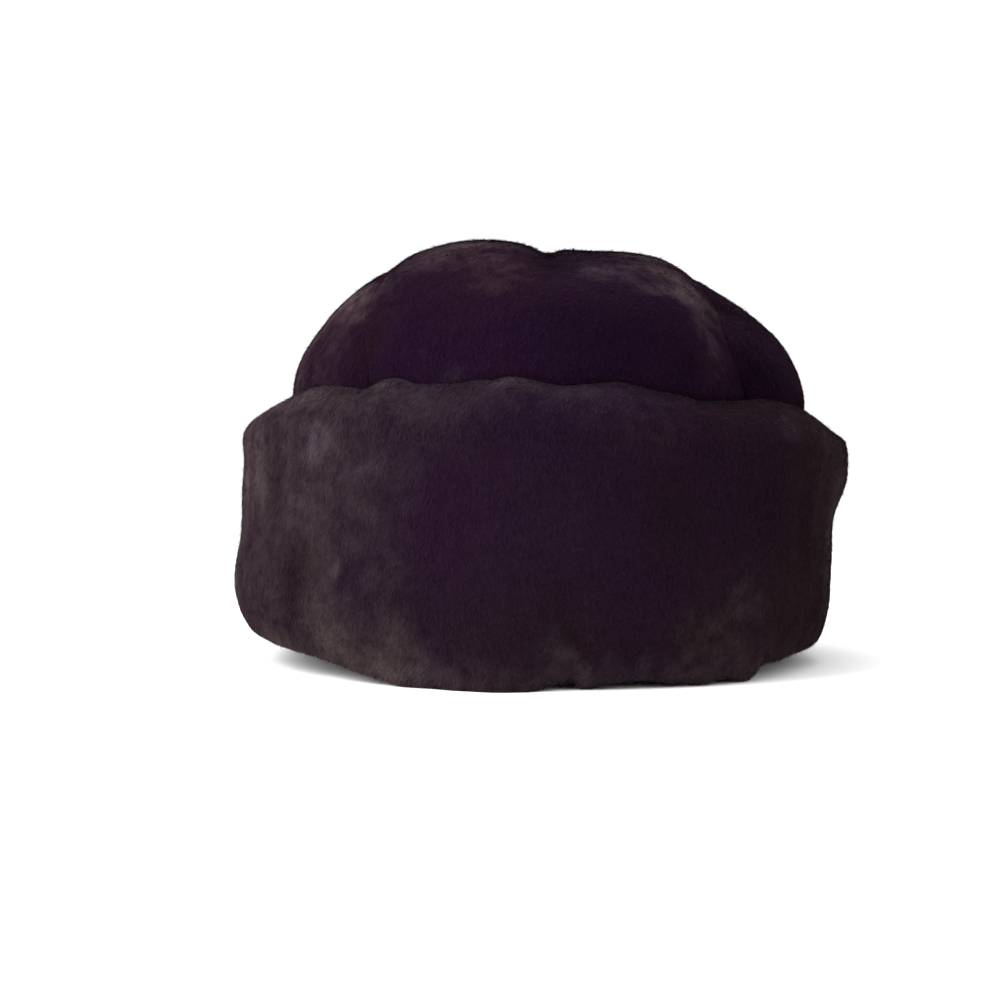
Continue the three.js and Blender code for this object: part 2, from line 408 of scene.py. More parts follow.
@dataclass(frozen=True)
class NapAndPaintedLightField:
    """All the marks of one part of the hat, crushed nap with painted light and shade, over a general
    tone.

    Attributes:
        light: General lightness.
        warm: General warmth.
        rows: The marks, each a row of a NapAndPaintedLightMark's values.
        hem: Lightness added along the lower edge.
        hem_height: Height over which that fades.
    """

    light: float
    warm: float
    rows: tuple[tuple[float, ...], ...]
    hem: float = 0.0
    hem_height: float = 9.0

    def read(self, points: Grid) -> tuple[Grid, Grid]:
        """Adds up the marks, over the general tone and a hem that fades as a bell curve upwards.

        Args:
            points: Places on the surface.

        Returns:
            Lightness and warmth at each place.
        """
        light = self.light + self.hem * np.exp(-((points[..., 2] / self.hem_height) ** 2))
        warm = np.full(points.shape[:-1], self.warm)
        for row in self.rows:
            mark = NapAndPaintedLightMark(*row)
            share = mark.read(points)
            light += mark.light * share
            warm += mark.warm * share
        return light, warm

    def under_coat(self, points: Grid) -> dict[str, Grid]:
        """Named values for the surface under the coat.

        Args:
            points: Places on it, as a list.

        Returns:
            The values that the fur's finish reads, at each place.
        """
        light, warm = self.read(points)
        return {
            "nap_and_painted_light": light,
            "nap_warm": warm,
            "lock_along": np.full(len(points), UNDER_ALONG),
            "lock_shade": np.full(len(points), UNDER_SHADE),
        }


CROWN_NAP_AND_PAINTED_LIGHT = NapAndPaintedLightField(
    light=-0.14,
    warm=0.41,
    rows=(
        # x, y, z, tilt, length, width, light, warm
        # Lighter left panel: painted light on the side towards the key light, with crushed nap
        (-68, -58, 112, 60, 26, 12, 0.32, 0.46),
        (-66, -36, 128, 45, 18, 10, 1, 0.38),
        (-63, -50, 124, 50, 9, 6, 0.75, 0.42),
        (-87, -34, 97, 60, 10, 8, 0.56, 0.2),
        (-83, -32, 111, 60, 9, 5, 0.38, 0),
        (-72, -62, 94, 0, 12, 5, 0.35, 0.1),
        (-63, -60, 120, 0, 3, 2.5, 0.57, 0),
        # Lighter patches on the front and top: crushed nap and painted light from above
        (-35, -60, 139, 10, 22, 13, 0.36, 0.1),
        (-24, -50, 144, 0, 20, 7, 0.57, 0.1),
        (-19, -86, 127, 0, 9, 5, 0.2, 0.18),
        (-32, -98, 98, 0, 10, 7, 0.2, -0.1),
        (-12, -76, 136, -20, 16, 10, 0.28, 0.5),
        # Dark crease: painted shade in the crease
        (1, -72, 138, 90, 14, 7, -0.93, 0),
        (-1, -82, 130, 90, 5, 4, -0.3, 0),
        (6, -47, 143, 90, 7, 4, -0.25, 0),
        # Lighter patches on the top and the right ridge: crushed nap and painted highlight
        (20, -72, 135, 0, 18, 12, 0.47, -0.35),
        (36, -44, 141, 0, 14, 7, 1, -0.1),
        (40, -62, 134, -45, 12, 7, 0.77, 0.42),
        (46, -75, 124, -50, 9, 6, 0.74, -0.38),
        (33, -81, 127, 0, 6, 4, 0.57, -0.3),
        (50, -66, 126, -50, 14, 5, 0.6, 0.12),
        (51, -84, 112, 80, 14, 7, 0.52, 0.16),
        (54, -88, 99, -60, 12, 6, 0.05, 0.42),
        # Darker lower right, by the right seam and above the band: painted shade
        (44, -95, 101, 60, 9, 6, -0.22, 0),
        (61, -78, 103, 80, 7, 3, -0.25, 0),
        (64, -72, 100, 80, 14, 6, -0.5, -0.3),
        (74, -64, 100, 0, 14, 7, -0.5, -0.3),
        (87, -42, 93, 0, 10, 4, -0.27, 0),
        # Dark strip beside the right seam's ridge: painted shadow of the seam
        (60, -58, 122, -50, 12, 5, -0.65, 0.4),
        (69, -50, 119, -50, 9, 6, -0.25, 0),
        (71, -44, 121, -50, 12, 7, -0.32, 0.4),
        # Dark strips along the left seam: painted shade in its groove
        (-57, -74, 107, 85, 22, 5.5, -0.26, 0.4),
        (-46, -86, 110, 80, 18, 8, -0.12, -0.48),
        # Darker lower front of the crown, above the band: painted shade
        (-6, -105, 105, 0, 36, 16, -0.07, -0.48),
        (22, -99, 112, 0, 24, 14, -0.27, -0.22),
        (3, -66, 131, 0, 1.2, 1.2, 1, 0),
        # Lighter patches on the top, sides and back: crushed nap, with painted light from above on the
        # top
        (-10, 6, 150, 0, 40, 24, 0.3, 0.2),
        (-30, 52, 142, 20, 34, 18, 0.36, 0.2),
        (44, 36, 138, -40, 34, 15, 0.42, 0.3),
        (56, 70, 112, 70, 28, 12, 0.38, 0.3),
        (-62, 62, 114, 60, 30, 15, 0.36, 0.5),
        (84, 10, 112, 20, 30, 14, 0.3, 0.4),
        (-84, 22, 114, -30, 26, 14, 0.34, 0.4),
        # Dark back crease, and dark back just above the band: painted shade
        (4, 84, 128, 80, 12, 8, -0.4, 0),
        (10, 100, 108, 0, 34, 12, -0.25, -0.3),
    ),
)

BAND_NAP_AND_PAINTED_LIGHT = NapAndPaintedLightField(
    light=0.11,
    warm=0.48,
    # Lighter along the lower edge, fading upwards
    hem=0.3,
    rows=(
        # x, y, z, tilt, length, width, light, warm
        # Lighter left side: painted light from the key light, with crushed nap
        (-85, -70, 60, 90, 60, 40, 0.19, 0.2),
        (-103, -38, 70, 90, 16, 9, 0.51, 0.15),
        (-97, -53, 75, 90, 9, 6, 0.26, -0.05),
        (-107, -33, 38, 90, 14, 6, 0.34, 0.48),
        # Lighter top edge on the left: painted highlight
        (-88, -52, 91, 0, 26, 7, 0.4, -0.35),
        # Light edge and dark middle of the left dent: painted highlight and painted shade
        (-97, -55, 64, 90, 20, 5, 0.2, 0.17),
        (-90, -65, 58, 90, 22, 5, -0.19, 0),
        (-74, -91, 78, 0, 8, 7, 0.55, -0.65),
        (-79, -85, 57, 90, 8, 6, 0.09, -0.06),
        # Dark in the lower left dent: painted shade
        (-81, -82, 38, 0, 12, 10, -0.27, 0.1),
        (-57, -105, 69, 14, 12, 1.5, 0.18, -0.48),
        (-67, -100, 37, 20, 3, 2, 0.25, 0),
        # Dark in the lower left dent: painted shade
        (-84, -80, 22, 90, 14, 5, -0.15, 0),
        # Lighter, browner lower left: painted light on the side towards the key light
        (-87, -66, 10, 0, 14, 7, 0.45, 0.75),
        (-68, -98, 14, -45, 16, 7, 0.31, 0.58),
        (-54, -106, 6, 10, 16, 8, 0.27, 0.52),
        (-44, -114, 14, -60, 10, 7, 0.19, 0.03),
        # Front dents: painted shade in them, and a painted highlight on the notch's left edge
        (-36, -117, 13, -60, 9, 2.5, -0.05, -0.18),
        (4, -122, 11, -50, 14, 6, 0.26, -0.1),
        (9, -121, 14, -55, 14, 2, -0.21, 0.36),
        (-34, -119, 52, 90, 22, 11, -0.12, -0.37),
        (-14, -124, 20, 0, 50, 14, -0.15, 0.23),
        (-18, -125, 2, 0, 14, 6, -0.21, 0.18),
        (20, -117, 3, 0, 9, 5, -0.18, 0),
        # Lighter top edge at the front: painted highlight from above
        (-46, -106, 92, 0, 10, 6, 0.26, -0.15),
        (-50, -94, 96, 0, 8, 5, 0.45, -0.25),
        (-13, -112, 94, 0, 6, 3, 0.23, -0.38),
        (8, -114, 88, 0, 34, 7, 0.2, -0.34),
        # Darker top edge on the right: painted shade
        (55, -93, 89, 0, 12, 4, -0.25, 0),
        (35, -105, 92, 0, 10, 4, -0.2, 0.1),
        (34, -118, 78, 0, 14, 7, 0.14, 0.15),
        # Darker front right, away from the key light: painted shade
        (20, -123, 62, 90, 50, 60, -0.19, -0.36),
        (36, -118, 55, 90, 14, 9, -0.18, 0.3),
        (48, -112, 18, 0, 12, 8, 0.14, 0.4),
        (62, -101, 28, 90, 14, 10, 0.26, 0.02),
        # Darker right side, away from the key light: painted shade
        (70, -96, 58, 90, 24, 22, -0.26, -0.36),
        (80, -80, 50, 90, 60, 50, -0.12, 0.67),
        (85, -77, 53, 90, 14, 6, -0.35, -0.3),
        # Lighter right edge and top corner: painted rim light and highlight
        (99, -45, 41, 90, 24, 7, 0.38, 0.3),
        (104, -40, 70, 90, 12, 8, 0.13, 0.27),
        (95, -60, 81, 0, 9, 5, 0.14, 0),
        (78, -86, 82, 30, 11, 6, 0.27, -0.45),
        (104, 20, 60, 85, 24, 14, 0.15, -0.2),
        (86, 74, 30, 80, 22, 12, 0.3, 0.4),
        (60, 102, 78, 0, 18, 8, 0.3, -0.2),
        (20, 124, 50, 90, 46, 40, -0.1, -0.6),
        (-30, 122, 18, 10, 22, 8, 0.25, 0.4),
        (-70, 96, 60, 60, 26, 16, 0.3, 0.2),
        (-104, 30, 40, 80, 24, 12, -0.15, -0.3),
    ),
)


# Fur


@dataclass(frozen=True)
class Patch:
    """A furred surface.

    Attributes:
        points: Grid of places.
        normals: Outward unit vector at each.
        lie: Direction in which the fur lies at each.
        cover: Share of the full number of hairs at each.
    """

    points: Grid
    normals: Grid
    lie: Grid
    cover: Grid


@dataclass(frozen=True)
class FurCoat:
    """Short flat locks of hair, each a narrow leaf bent at its middle.

    Attributes:
        length: Length of a lock.
        width: Width of a lock at its middle.
        size: Least and largest share of both that a lock has.
        lift: Angle in degrees between the skin and a lock's lower half.
        lift_share: Least and largest share of that angle.
        tip_lift: Angle in degrees between the skin and its upper half.
        tip_scatter: Spread in degrees of that angle.
        sink: Depth of its root under the surface.
        swirl: Largest turn in degrees of the lie of the fur from place to place.
        swirl_size: Size of a swirl.
        ripple: Largest turn in degrees of the smaller swirls on them.
        ripple_size: Size of a smaller swirl.
        crushed_turn: Turn in degrees where the nap is wholly crushed.
        scatter: Spread in degrees of single locks about the lie.
        roll: Spread in degrees of the locks' own turn.
        guard_share: Share of the locks that are thin guard hairs, which stand up from the rest.
        guard_width: Width of a guard hair.
        guard_lift: Angle in degrees that a guard hair's two halves have more than a lock's.
        floor: Height under which the locks are pressed flat.
    """

    length: float = 2.5
    width: float = 0.38
    size: tuple[float, float] = (0.7, 1.25)
    lift: float = 14.0
    lift_share: tuple[float, float] = (0.6, 1.3)
    tip_lift: float = 4.0
    tip_scatter: float = 5.0
    sink: float = 0.25
    swirl: float = 32.0
    swirl_size: float = 21.0
    ripple: float = 14.0
    ripple_size: float = 6.0
    crushed_turn: float = 70.0
    scatter: float = 14.0
    roll: float = 10.0
    guard_share: float = 0.1
    guard_width: float = 0.16
    guard_lift: float = 17.0
    floor: float = 0.05

    def grow(self, patch: Patch, nap: NapAndPaintedLightField, count: int, seed: int) -> Facets:
        """Covers a patch with locks.

        The roots are spread evenly over the patch's area times its cover. A lock starts under
        the surface, rises to its widest place at the lift angle and ends at the tip's angle.

        Args:
            patch: The surface.
            nap: Its marks, crushed nap with painted light and shade.
            count: Number of locks.
            seed: Seed of the random values.

        Returns:
            The locks, two triangles each.
        """
        chance = np.random.default_rng(seed)
        root, normal, lie = self._roots(patch, count, chance)
        light, warm = nap.read(root)
        turn = self.swirl * soft_noise(root, self.swirl_size, seed + 1)
        turn += self.ripple * soft_noise(root, self.ripple_size, seed + 2)
        turn += chance.normal(0.0, self.scatter, count)
        turn = np.radians(turn + self.crushed_turn * np.clip(light, 0.0, 1.0))[:, None]
        ahead = unit(lie * np.cos(turn) + np.cross(lie, normal) * np.sin(turn))
        roll = np.radians(chance.normal(0.0, self.roll, count))[:, None]
        side = np.cross(ahead, normal) * np.cos(roll) + normal * np.sin(roll)
        size = chance.uniform(*self.size, count)[:, None]
        guard = (chance.random(count) < self.guard_share)[:, None]
        more = guard * math.radians(self.guard_lift)
        lift = np.radians(self.lift * chance.uniform(*self.lift_share, count))[:, None] + more
        tip_lift = np.radians(self.tip_lift + chance.normal(0.0, self.tip_scatter, count))[:, None] + more
        half = self.length / 2.0 * size
        start = root - normal * self.sink
        middle = start + (ahead * np.cos(lift) + normal * np.sin(lift)) * half
        tip = middle + (ahead * np.cos(tip_lift) + normal * np.sin(tip_lift)) * half
        reach = side * np.where(guard, self.guard_width, self.width) / 2.0 * size
        points = np.stack([start, middle + reach, tip, middle - reach], axis=1).reshape(-1, 3)
        points[:, 2] = np.maximum(points[:, 2], self.floor)
        first = np.arange(count) * 4
        corners = np.stack([first, first + 1, first + 3, first + 1, first + 2, first + 3], axis=1)
        fields = {
            "nap_and_painted_light": np.repeat(light, 4),
            "nap_warm": np.repeat(warm, 4),
            "lock_along": np.tile([0.0, 0.5, 1.0, 0.5], count),
            "lock_shade": np.repeat(chance.random(count), 4),
        }
        finish = np.zeros(count * 2, int)
        return Facets(points, corners.reshape(-1, 3), self._sheet(count), finish, fields)

    @staticmethod
    def _roots(patch: Patch, count: int, chance: np.random.Generator) -> tuple[Grid, Grid, Grid]:
        """Spreads roots over a patch.

        The cells' areas times their cover are summed up one after another, and even steps
        along that sum say in which cell each root stands. It stands anywhere in its cell.

        Args:
            patch: The surface.
            count: Number of roots.
            chance: Source of the random values.

        Returns:
            Place, normal and lie at each root, between those of its cell's corners.
        """
        a, b, c = patch.points[:-1, :-1], patch.points[:-1, 1:], patch.points[1:, :-1]
        area = np.linalg.norm(np.cross(b - a, c - a), axis=-1) * patch.cover[:-1, :-1]
        summed = np.cumsum(area.ravel())
        wanted = (np.arange(count) + chance.random(count)) / count * summed[-1]
        cell = np.minimum(np.searchsorted(summed, wanted), area.size - 1)
        row, column = np.divmod(cell, area.shape[1])
        down, right = chance.random((2, count, 1))
        place, normal, lie = (
            blend(
                blend(grid[row, column], grid[row, column + 1], right),
                blend(grid[row + 1, column], grid[row + 1, column + 1], right),
                down,
            )
            for grid in (patch.points, patch.normals, patch.lie)
        )
        normal = unit(normal)
        return place, normal, unit(lie - normal * dot(lie, normal))

    @staticmethod
    def _sheet(count: int) -> Grid:
        """Gives each lock its own small square of the baking sheet.

        Args:
            count: Number of locks.

        Returns:
            Place on the sheet of each corner of the locks' triangles.
        """
        across = math.ceil(math.sqrt(count))
        row, column = np.divmod(np.arange(count), across)
        kite = np.array([[0.5, 0.1], [0.9, 0.5], [0.5, 0.9], [0.1, 0.5]])
        corners = (np.stack([column, row], axis=1)[:, None] + kite) / across
        return corners[:, [0, 1, 3, 1, 2, 3]].reshape(-1, 3, 2)


# Finishes


class Value:
    """A node's output that takes part in arithmetic.

    Attributes:
        shading: The nodes that it belongs to.
        socket: The output.
    """

    def __init__(self, shading: "Shading", socket: bpy.types.NodeSocket) -> None:
        """Wraps a socket of a shading's node."""
        self.shading = shading
        self.socket = socket

    def _math(self, operation: str, *terms: Any) -> "Value":
        """Adds a Math node over the terms."""
        made = self.shading.node("ShaderNodeMath", {"operation": operation}, dict(enumerate(terms)))
        return Value(self.shading, made.outputs[0])

    def __add__(self, other: Any) -> "Value":
        """This plus the other."""
        return self._math("ADD", self, other)

    __radd__ = __add__

    def __sub__(self, other: Any) -> "Value":
        """This less the other."""
        return self._math("SUBTRACT", self, other)

    def __rsub__(self, other: Any) -> "Value":
        """The other less this."""
        return self._math("SUBTRACT", other, self)

    def __mul__(self, other: Any) -> "Value":
        """This times the other."""
        return self._math("MULTIPLY", self, other)

    __rmul__ = __mul__

    def clamped(self) -> "Value":
        """This kept between 0 and 1."""
        return self._math("MINIMUM", self._math("MAXIMUM", self, 0.0), 1.0)


@dataclass(frozen=True)
class Noise:
    """Settings of a cloudy noise.

    Attributes:
        scale: Number of clouds in a metre.
        detail: Number of finer layers.
        roughness: Strength of each finer layer against the one before.
    """

    scale: float
    detail: float
    roughness: float = 0.5


class Shading:
    """The nodes of one material.

    Attributes:
        material: The material.
    """

    def __init__(self, name: str) -> None:
        """Starts an empty material.

        Args:
            name: The material's name.
        """
        self.material = bpy.data.materials.new(name)
        self.material.use_nodes = True
        self.material.node_tree.nodes.clear()

    def node(
        self, kind: str, settings: dict[str, Any] | None = None, inputs: dict[Any, Any] | None = None
    ) -> bpy.types.Node:
        """Adds a node.

        Args:
            kind: The node's type.
            settings: Its own settings, set first.
            inputs: Values or links for its sockets, by name or number.

        Returns:
            The node.
        """
        tree = self.material.node_tree
        made = tree.nodes.new(kind)
        for key, value in (settings or {}).items():
            setattr(made, key, value)
        for key, value in (inputs or {}).items():
            if isinstance(value, Value):
                tree.links.new(value.socket, made.inputs[key])
            else:
                made.inputs[key].default_value = value
        return made

    def attribute(self, name: str) -> Value:
        """Reads one of the mesh's named values."""
        return Value(self, self.node("ShaderNodeAttribute", {"attribute_name": name}).outputs["Fac"])

    def place(self) -> Value:
        """Place on the object, in metres."""
        return Value(self, self.node("ShaderNodeTexCoord").outputs["Object"])

    def noise(self, place: Value, noise: Noise) -> Value:
        """Reads a noise, from -1 to 1 about 0.

        Args:
            place: Where it is read.
            noise: Its settings.

        Returns:
            The noise.
        """
        inputs = {"Scale": noise.scale, "Detail": noise.detail, "Roughness": noise.roughness}
        made = self.node("ShaderNodeTexNoise", {"noise_dimensions": "3D"}, {"Vector": place, **inputs})
        return Value(self, made.outputs["Fac"]) * 2.0 - 1.0

    def mix(self, share: Value, first: Any, second: Any) -> Value:
        """Colour between two colours at a share."""
        made = self.node("ShaderNodeMix", {"data_type": "RGBA"}, {0: share, 6: first, 7: second})
        return Value(self, made.outputs[2])

    def scaled(self, colour: Value, factor: Value) -> Value:
        """Colour times a number."""
        made = self.node("ShaderNodeVectorMath", {"operation": "SCALE"}, {0: colour, "Scale": factor})
        return Value(self, made.outputs[0])

    def raised(self, height: Value, strength: float, distance: float) -> Value:
        """Normal of a surface that a height raises.

        Args:
            height: The height, as a share.
            strength: Strength of the effect.
            distance: The height's measure, in metres.

        Returns:
            The normal.
        """
        inputs = {"Strength": strength, "Distance": distance, "Height": height}
        return Value(self, self.node("ShaderNodeBump", inputs=inputs).outputs[0])

    def surface(self, inputs: dict[str, Any]) -> bpy.types.Material:
        """Ends the material in a Principled shader.

        Args:
            inputs: Values or links for the shader's sockets.

        Returns:
            The material.
        """
        shader = self.node("ShaderNodeBsdfPrincipled", inputs=inputs)
        surface = Value(self, shader.outputs[0])
        self.node("ShaderNodeOutputMaterial", inputs={"Surface": surface})
        return self.material


@dataclass(frozen=True)
class FurFinish:
    """Short dyed fur: darker at its roots, paler where the nap is crushed and where light is painted on.

    Attributes:
        name: The material's name.
        plum: Its cool colour.
        brown: Its warm colour.
        dusty_and_lit: Its cool colour where the nap is crushed and where light is painted on.
        dusty_and_lit_brown: Its warm colour there.
        clouds: Strength of the general tone's clouds.
        cloud: The broad clouds.
        mottle: The finer clouds.
        grain: The finest clouds, about a millimetre across.
        crushed: Strength of the cloud and of the mottle in the marks' lightness, which holds crushed nap
            and painted light and shade.
        tone: Their strength in the general tone.
        warm_cloud: Strength of the cloud in the warmth.
        grain_tone: Strength of the grain in the colour.
        shaded: Darkening where the lightness is -1.
        lock: Brightness of the darkest lock, and how much brighter the palest is.
        root: Brightness of the hair at its root.
        tip: Brightness of the hair at its tip.
        bump: Strength of the relief and its height in metres.
        roughness: Roughness of the hair.
        sheen: Strength of the light that its tips catch.
        sheen_roughness: Roughness of that light.
        sheen_tint: Colour of that light.
    """

    name: str
    plum: Colour
    brown: Colour
    dusty_and_lit: Colour
    dusty_and_lit_brown: Colour
    clouds: float = 1.0
    cloud: Noise = Noise(38.0, 2.0)
    mottle: Noise = Noise(190.0, 2.0)
    grain: Noise = Noise(1100.0, 1.0)
    crushed: tuple[float, float] = (0.7, 0.9)
    tone: tuple[float, float] = (0.16, 0.12)
    warm_cloud: float = 0.3
    grain_tone: float = 0.25
    shaded: float = 0.75
    lock: tuple[float, float] = (0.78, 0.44)
    root: float = 0.72
    tip: float = 1.14
    bump: tuple[float, float] = (0.5, 0.0006)
    roughness: float = 0.85
    sheen: float = 0.03
    sheen_roughness: float = 0.3
    sheen_tint: Colour = (0.75, 0.6, 0.68, 1.0)

    def material(self) -> bpy.types.Material:
        """Builds the material.

        The colour goes from plum to brown with the warmth, and from there to the paler ones with the
        lightness: crushed nap and painted light. It is darker where that is below 0, as painted shade,
        at the roots and on some locks.

        Returns:
            The material.
        """
        nodes = Shading(self.name)
        place = nodes.place()
        cloud, mottle = nodes.noise(place, self.cloud), nodes.noise(place, self.mottle)
        grain = nodes.noise(place, self.grain)
        # Lightness of the marks, crushed nap with painted light and shade, broken up by clouds
        light = nodes.attribute("nap_and_painted_light") * (cloud * self.crushed[0] + mottle * self.crushed[1] + 1.0)
        light = light + (cloud * self.tone[0] + mottle * self.tone[1]) * self.clouds
        warm = (nodes.attribute("nap_warm") + cloud * self.warm_cloud).clamped()
        # Towards the paler colours where the lightness paints crushed nap and light
        colour = nodes.mix(
            light.clamped(),
            nodes.mix(warm, self.plum, self.brown),
            nodes.mix(warm, self.dusty_and_lit, self.dusty_and_lit_brown),
        )
        along = nodes.attribute("lock_along") * (self.tip - self.root) + self.root
        shade = nodes.attribute("lock_shade") * self.lock[1] + self.lock[0]
        # Painted shade where the lightness is below 0
        dark = 1.0 - (0.0 - light).clamped() * self.shaded
        tone = along * shade * dark * (grain * self.grain_tone + 1.0)
        return nodes.surface(
            {
                "Base Color": nodes.scaled(colour, tone),
                "Normal": nodes.raised(grain + mottle, *self.bump),
                "Roughness": self.roughness,
                "Specular IOR Level": 0.0,
                "Sheen Weight": self.sheen,
                "Sheen Roughness": self.sheen_roughness,
                "Sheen Tint": self.sheen_tint,
            }
        )


@dataclass(frozen=True)
class SkinFinish:
    """The back of the pelt, a dull suede.

    Attributes:
        name: The material's name.
        dark: Its darkest colour.
        pale: Its palest colour.
        cloud: The soft clouds.
        grain: The fine grain.
        tone: Strength of both in the colour.
        bump: Strength of the relief and its height in metres.
        roughness: Roughness of the skin.
        gloss: Level of its mirror light.
    """

    name: str = "pelt_skin_side"
    dark: Colour = (0.045, 0.030, 0.026, 1.0)
    pale: Colour = (0.105, 0.075, 0.062, 1.0)
    cloud: Noise = Noise(45.0, 4.0, 0.6)
    grain: Noise = Noise(1500.0, 3.0, 0.7)
    tone: tuple[float, float] = (0.5, 0.2)
    bump: tuple[float, float] = (0.35, 0.0004)
    roughness: float = 0.9
    gloss: float = 0.25

    def material(self) -> bpy.types.Material:
        """Builds the material: two browns in soft clouds, with a fine raised grain.

        Returns:
            The material.
        """
        nodes = Shading(self.name)
        place = nodes.place()
        cloud, grain = nodes.noise(place, self.cloud), nodes.noise(place, self.grain)
        tone = (cloud * self.tone[0] + grain * self.tone[1] + 0.5).clamped()
        return nodes.surface(
            {
                "Base Color": nodes.mix(tone, self.dark, self.pale),
                "Normal": nodes.raised(grain, *self.bump),
                "Roughness": self.roughness,
                "Specular IOR Level": self.gloss,
            }
        )


# Crown


class Side(Enum):
    """A side of the hat, as seen from its front."""

    LEFT = -1
    RIGHT = 1


@dataclass(frozen=True)
class CrownForm:
    """The crown's surface: an oval upright wall under a dome, pulled in along its two seams.

    Attributes:
        half_width: Half width of the wall's outside.
        half_depth: Half depth of the wall's outside.
        wall: Thickness of the fur and its padding.
        rim: Height of the lower rim.
        shoulder: Height at which the dome starts.
        fullness: Power of the dome's arch, 2 for an ellipse.
        rim_middle: Place of the rim's middle across the hat.
        shoulder_middle: Place of the shoulder's middle across the hat.
        gap: Width of the gap in a seam.
        seam_reach: Distance from a seam at which its pull ends.
        seam_softness: How round the pull's edge is, 0 for sharp and 1 for round.
        pucker: Share by which the pull rises and falls along a seam.
        pucker_rate: Pace of that, in radians a degree of pitch.
        pucker_shift: Shift of it between the sides.
        ripple: Share by which it rises and falls in smaller steps.
        ripple_rate: Pace of those.
        crease_x: Place of the crease across the dome.
        crease_reach: Half width of the crease.
        rise: Height of the dome above its shoulder, from side to side.
        seams: Place of the seams across the dome, from front to back.
        pull: Depth of the pull along the seams.
        crease: Depth of the lengthwise crease.
    """

    half_width: float = 93.5
    half_depth: float = 107.0
    wall: float = 11.0
    rim: float = 8.0
    shoulder: float = 92.0
    fullness: float = 2.4
    rim_middle: float = -1.5
    shoulder_middle: float = 2.5
    gap: float = 0.2
    seam_reach: float = 12.0
    seam_softness: float = 0.5
    pucker: float = 0.14
    pucker_rate: float = 0.19
    pucker_shift: float = 1.3
    ripple: float = 0.07
    ripple_rate: float = 0.43
    crease_x: float = -0.9
    crease_reach: float = 5.0
    rise: Table = Table(
        ("x", "rise"),
        (
            (-94, 55.7), (-75, 57.3), (-62, 59.4), (-50, 61.1), (-40, 61.2), (-28, 60.6),
            (-16, 59), (-6, 56.8), (2, 56.4), (10, 55.2), (16, 55.4), (24, 56),
            (36, 56.2), (48, 54.5), (60, 49.8), (75, 46.7), (94, 46.5),
        ),
    )
    seams: Table = Table(
        ("pitch", "left", "right"),
        (
            (0, -59.5, 62.5), (10, -61, 60.5), (20, -62.3, 57.5), (30, -62.5, 56), (40, -61.8, 55.2),
            (50, -60.6, 53.4), (62, -58.6, 50.8), (75, -57.3, 50.2), (90, -56.6, 50), (110, -56.4, 50.6),
            (130, -57.6, 53), (150, -58.8, 57), (180, -59.5, 62.5),
        ),
    )
    pull: Table = Table(
        ("pitch", "left", "right"),
        (
            (0, 1.6, 2.4), (20, 1.5, 2.3), (40, 1.4, 2.2), (60, 1.4, 1.9), (75, 1.1, 1.3),
            (90, 0.9, 0.9), (120, 1.2, 1.2), (150, 1.6, 1.7), (180, 2, 2),
        ),
    )
    crease: Table = Table(
        ("pitch", "depth"),
        ((0, 0), (30, 0), (45, 0.8), (62, 2.4), (80, 3.4), (110, 3.2), (135, 1.8), (155, 0.5), (180, 0)),
    )

    def seam(self, side: Side, pitch: Grid) -> Grid:
        """Place of a seam across the dome at a pitch, 0 in front and pi behind."""
        return self.seams.read(side.name.lower(), np.degrees(pitch))

    def pulled(self, side: Side, distance: Grid, pitch: Grid) -> Grid:
        """Depth of the pull beside a seam.

        It falls with the square of the distance, with a rounded edge, and puckers make it rise
        and fall a little along the seam.

        Args:
            side: Which seam.
            distance: Distance from the seam.
            pitch: Pitch over the dome.

        Returns:
            Depth in millimetres.
        """
        degrees = np.degrees(pitch)
        near = np.maximum(0.0, 1.0 - distance / self.seam_reach)
        share = blend(near**2, smooth_step(near, 0.0, 1.0), self.seam_softness)
        pucker = self.pucker * np.sin(degrees * self.pucker_rate + self.pucker_shift * side.value)
        ripple = self.ripple * np.sin(degrees * self.ripple_rate)
        return self.pull.read(side.name.lower(), degrees) * share * (1.0 + pucker + ripple)

    def creased(self, x: Grid, pitch: Grid) -> Grid:
        """Depth of the lengthwise crease: a bell curve across, deepest on the top."""
        across = np.exp(-(((x - self.crease_x) / self.crease_reach) ** 2))
        return self.crease.read("depth", np.degrees(pitch)) * across

    def middle(self, z: Grid) -> Grid:
        """Place of the middle across the hat at a height, between the rim's and the shoulder's."""
        return blend(self.rim_middle, self.shoulder_middle, np.minimum(1.0, z / self.shoulder))

    def place(self, across: Grid, along: Grid, depth: Grid, wall_share: Grid) -> Grid:
        """Place on the crown.

        On the wall the height is the share of the way from the rim to the shoulder. On the dome
        it is the shoulder plus the rise at x times the root of one less the radius share to the
        power of the fullness.

        Args:
            across: Share of the half width.
            along: Share of the half depth, 1 in front.
            depth: Depth inside the outer surface.
            wall_share: Share of the wall's height, 1 on the dome.

        Returns:
            Places, with x, y and z on a new last axis.
        """
        across, along, depth, wall_share = np.broadcast_arrays(across, along, depth, wall_share)
        x = across * (self.half_width - depth)
        radius = np.hypot(across, along)
        arch = np.sqrt(np.maximum(0.0, 1.0 - radius**self.fullness))
        dome = self.shoulder + (self.rise.read("rise", x) - depth) * arch
        z = np.where(wall_share < 1.0, blend(self.rim, self.shoulder, wall_share), dome)
        return np.stack([self.middle(z) + x, -along * (self.half_depth - depth), z], axis=-1)


